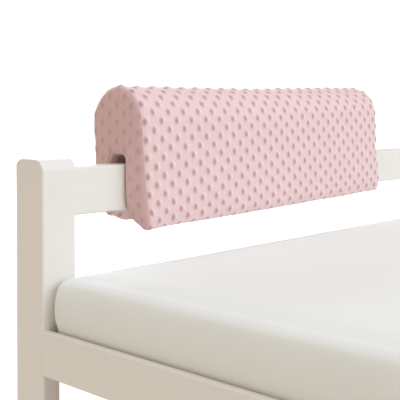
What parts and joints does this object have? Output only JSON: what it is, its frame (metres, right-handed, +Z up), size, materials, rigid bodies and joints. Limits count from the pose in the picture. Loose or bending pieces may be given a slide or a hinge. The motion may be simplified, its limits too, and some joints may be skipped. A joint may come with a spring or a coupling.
{
  "type": "toddler bed",
  "caption": "Low white wooden toddler bed with guard rails, slatted base, foam mattress and a padded pink saddle cushion over the back guard rail.",
  "frame": {"origin": "on the floor, in the middle of the whole bed's plan, cushion and zip included", "axes": "+X from the foot end to the head end, +Y from the front to the back side that carries the full-length guard rail, +Z up"},
  "size_m": [1.4186, 0.8392, 0.6068],
  "materials": {
    "white_paint": "satin white paint over smooth solid wood",
    "bare_wood": "sanded bare pine",
    "zinc_steel": "bright zinc plated",
    "glide_plastic": "matt moulded",
    "foam": "open-cell foam",
    "mattress_fabric": "smooth close-woven cotton",
    "pink_plush": "short-pile dotted plush",
    "zip_tape": "woven zip tape with coil teeth",
    "zip_metal": "nickel plated"
  },
  "bodies": {
    "bed_frame": {"foot_back_post": "white_paint", "head_back_post": "white_paint", "foot_front_post": "white_paint", "head_front_post": "white_paint", "back_guard_rail": "white_paint", "head_rail": "white_paint", "front_guard_rail": "white_paint", "front_guard_post": "white_paint", "back_side_rail": "white_paint", "front_side_rail": "white_paint", "foot_end_rail": "white_paint", "head_end_rail": "white_paint", "back_slat_batten": "bare_wood", "front_slat_batten": "bare_wood", "upper_rail_dowels": "bare_wood", "side_rail_dowels": "bare_wood", "end_rail_dowels": "bare_wood", "slat_01": "bare_wood", "slat_02": "bare_wood", "slat_03": "bare_wood", "slat_04": "bare_wood", "slat_05": "bare_wood", "slat_06": "bare_wood", "slat_07": "bare_wood", "slat_08": "bare_wood", "slat_09": "bare_wood", "slat_10": "bare_wood", "slat_11": "bare_wood", "connector_bolts": "zinc_steel", "barrel_nuts": "zinc_steel", "slat_screws": "zinc_steel", "batten_screws": "zinc_steel", "guard_post_screws": "zinc_steel", "floor_glides": "glide_plastic"},
    "mattress": {"mattress_core": "foam", "mattress_cover": "mattress_fabric"},
    "cushion": {"cushion_core": "foam", "cushion_cover": "pink_plush", "cushion_foot_panel": "pink_plush", "cushion_head_panel": "pink_plush", "cushion_zip_tape": "zip_tape"},
    "zip_slider_body": {"zip_slider": "zip_metal"},
    "zip_pull_body": {"zip_pull": "zip_metal"}
  },
  "joints": [
    {"name": "cushion_lift", "type": "slide", "parent": "bed_frame", "child": "cushion", "axis": [0, 0, 1], "range_m": [0, 0.2]},
    {"name": "mattress_lift", "type": "slide", "parent": "bed_frame", "child": "mattress", "axis": [0, 0, 1], "range_m": [0, 0.045]},
    {"name": "zip_run", "type": "slide", "parent": "cushion", "child": "zip_slider_body", "axis": [0.9997, 0, 0.0262], "range_m": [0, 0.56]},
    {"name": "zip_pull_swing", "type": "hinge", "parent": "zip_slider_body", "child": "zip_pull_body", "pos_m": [-0.53704, 0.41785, 0.43483], "axis": [0.9997, 0, 0.0262], "range_deg": [0, 120]}
  ]
}
